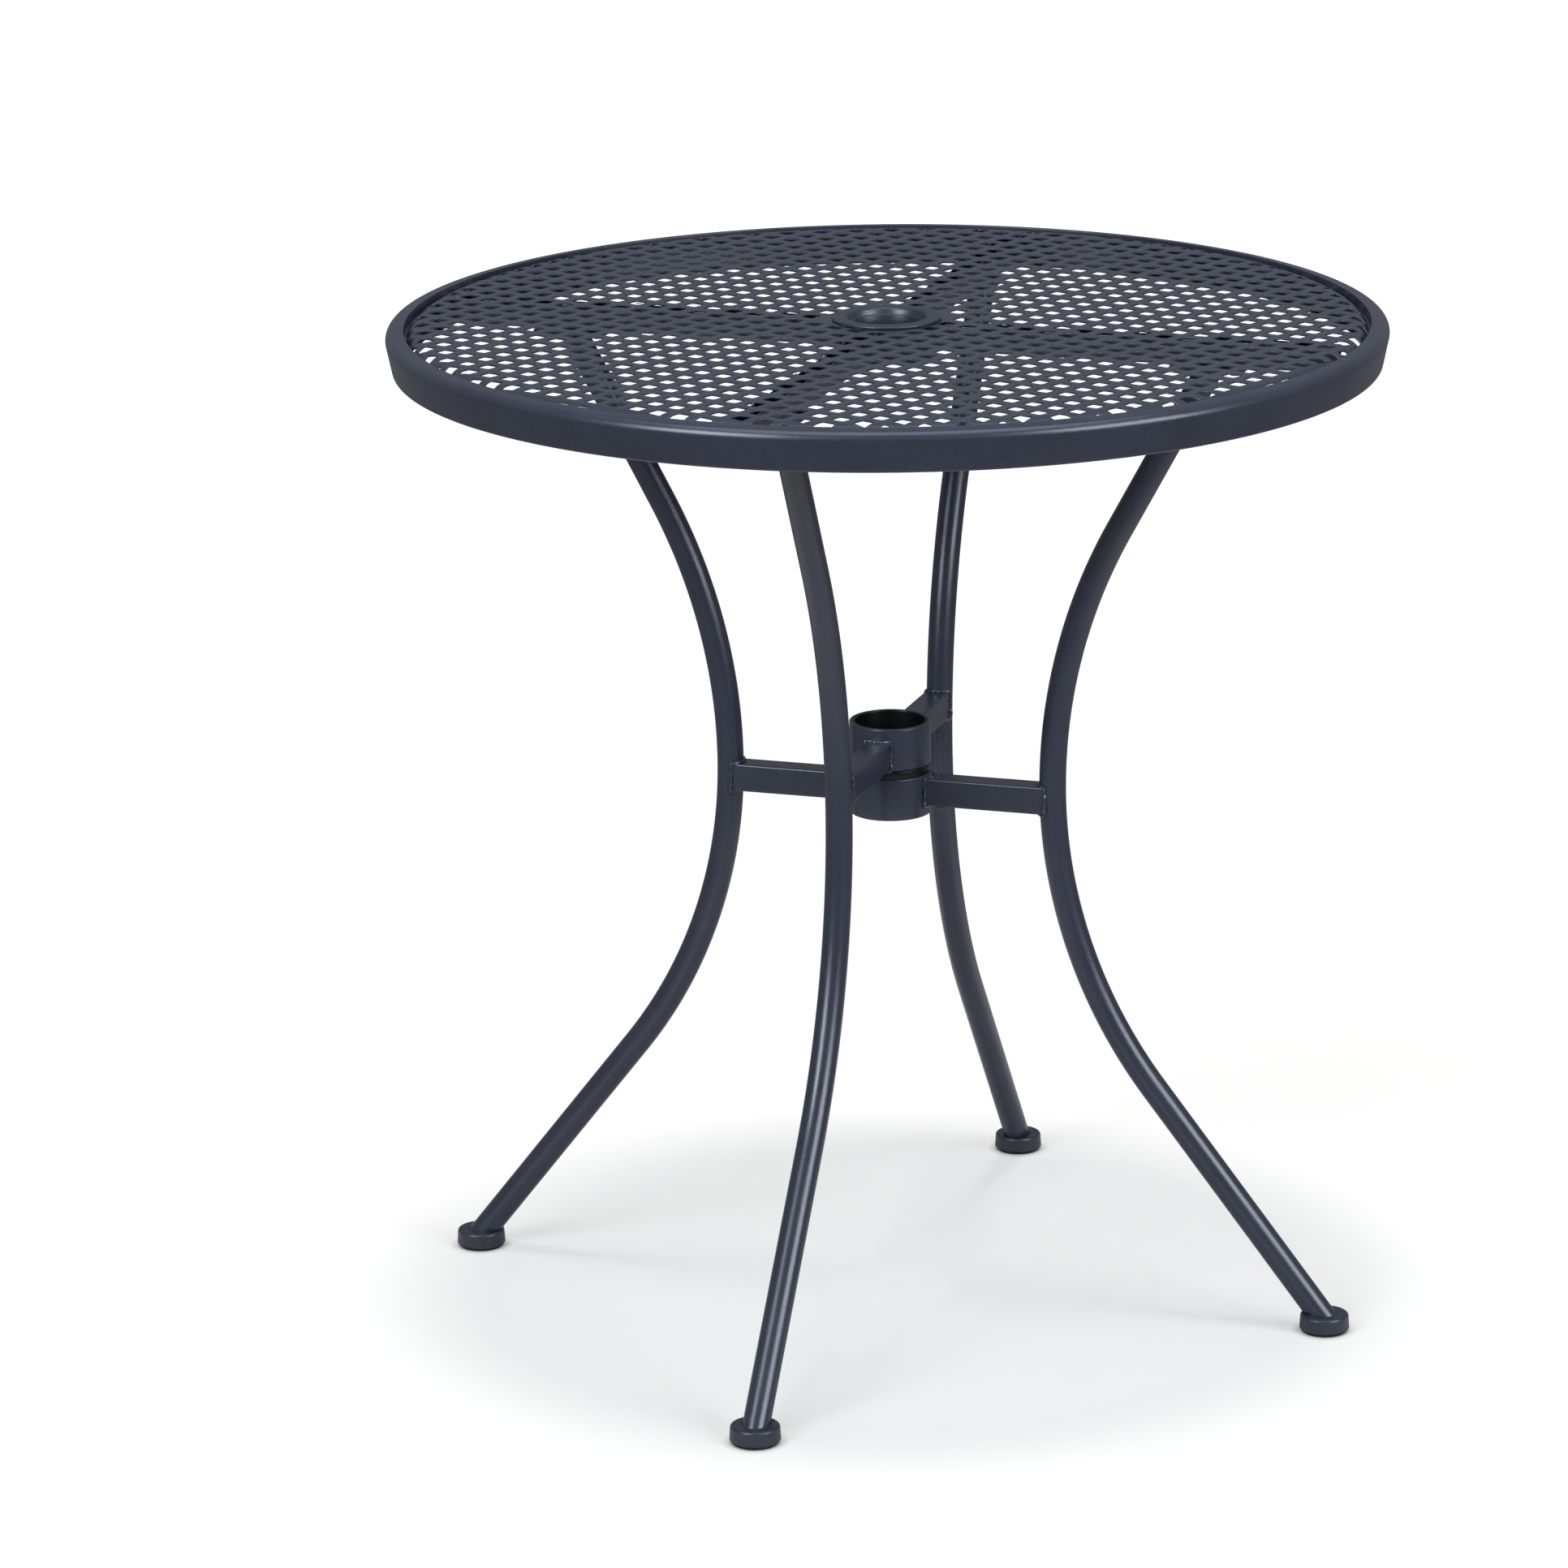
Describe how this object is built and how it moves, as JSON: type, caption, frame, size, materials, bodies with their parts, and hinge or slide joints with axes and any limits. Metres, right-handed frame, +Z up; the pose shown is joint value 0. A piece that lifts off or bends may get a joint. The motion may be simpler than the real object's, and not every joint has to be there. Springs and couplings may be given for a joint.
{
  "type": "garden table",
  "caption": "Round pierced steel garden table with a parasol grommet and four curved tube legs tied to a central collar.",
  "frame": {"origin": "on the floor under the centre of the table top", "axes": "+Z up through the parasol hole, +X towards the right leg, -Y towards the front leg"},
  "size_m": [0.6999, 0.7, 0.72],
  "materials": {
    "steel_coat": "satin anthracite powder coat",
    "anthracite_plastic": "satin anthracite plastic",
    "black_plastic": "satin black plastic",
    "bolt_steel": "black coated steel"
  },
  "bodies": {
    "frame": {"mesh_panel": "steel_coat", "rim": "steel_coat", "hub_ring": "steel_coat", "rail_left": "steel_coat", "rail_right": "steel_coat", "rail_front": "steel_coat", "rail_back": "steel_coat", "leg_left": "steel_coat", "leg_right": "steel_coat", "leg_front": "steel_coat", "leg_back": "steel_coat", "plate_left": "steel_coat", "plate_right": "steel_coat", "plate_front": "steel_coat", "plate_back": "steel_coat", "collar_upper": "steel_coat", "collar_lower": "steel_coat", "spoke_left": "steel_coat", "spoke_right": "steel_coat", "spoke_front": "steel_coat", "spoke_back": "steel_coat", "grommet": "anthracite_plastic", "grommet_nut": "anthracite_plastic", "leg_bolts": "bolt_steel", "collar_sleeve": "black_plastic", "cap_left": "anthracite_plastic", "cap_right": "anthracite_plastic", "cap_front": "anthracite_plastic", "cap_back": "anthracite_plastic"},
    "glide_left": {"glide_left": "black_plastic"},
    "glide_right": {"glide_right": "black_plastic"},
    "glide_front": {"glide_front": "black_plastic"},
    "glide_back": {"glide_back": "black_plastic"}
  },
  "joints": [
    {"name": "level_left", "type": "slide", "parent": "frame", "child": "glide_left", "axis": [0, 0, -1], "range_m": [0, 0.005]},
    {"name": "level_right", "type": "slide", "parent": "frame", "child": "glide_right", "axis": [0, 0, -1], "range_m": [0, 0.005]},
    {"name": "level_front", "type": "slide", "parent": "frame", "child": "glide_front", "axis": [0, 0, -1], "range_m": [0, 0.005]},
    {"name": "level_back", "type": "slide", "parent": "frame", "child": "glide_back", "axis": [0, 0, -1], "range_m": [0, 0.005]}
  ]
}
